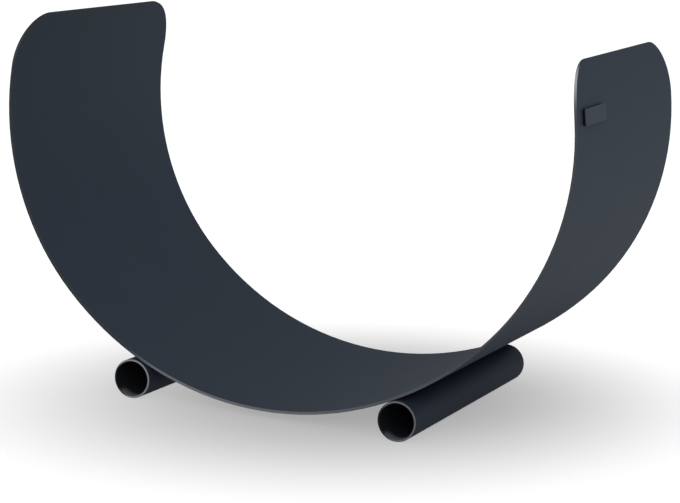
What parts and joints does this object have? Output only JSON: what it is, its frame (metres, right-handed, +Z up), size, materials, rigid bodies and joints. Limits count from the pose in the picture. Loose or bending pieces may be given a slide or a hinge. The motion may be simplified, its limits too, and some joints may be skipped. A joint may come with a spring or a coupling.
{
  "type": "firewood rack",
  "caption": "Low firewood rack: a steel plate rolled into a wide open cradle with rounded corners, welded onto short open round tubes that run from front to back as feet.",
  "frame": {"origin": "on the floor, in the middle of the rack's footprint", "axes": "+X along the rack's length, to the right as seen from the front; +Y from front to rear, along the foot tubes; +Z up"},
  "size_m": [0.6086, 0.327, 0.3822],
  "materials": {
    "cradle_coat": "satin anthracite powder coat with a fine orange peel",
    "tube_coat": "satin anthracite powder coat",
    "weld_coat": "rippled weld bead under the same powder coat",
    "badge_metal": "satin grey, blank",
    "badge_foam": "matt black"
  },
  "bodies": {
    "root": {"cradle_sheet": "cradle_coat", "foot_tube_left": "tube_coat", "foot_tube_right": "tube_coat", "foot_welds_left": "weld_coat", "foot_welds_right": "weld_coat", "badge_plate": "badge_metal", "badge_pad": "badge_foam"}
  },
  "joints": []
}
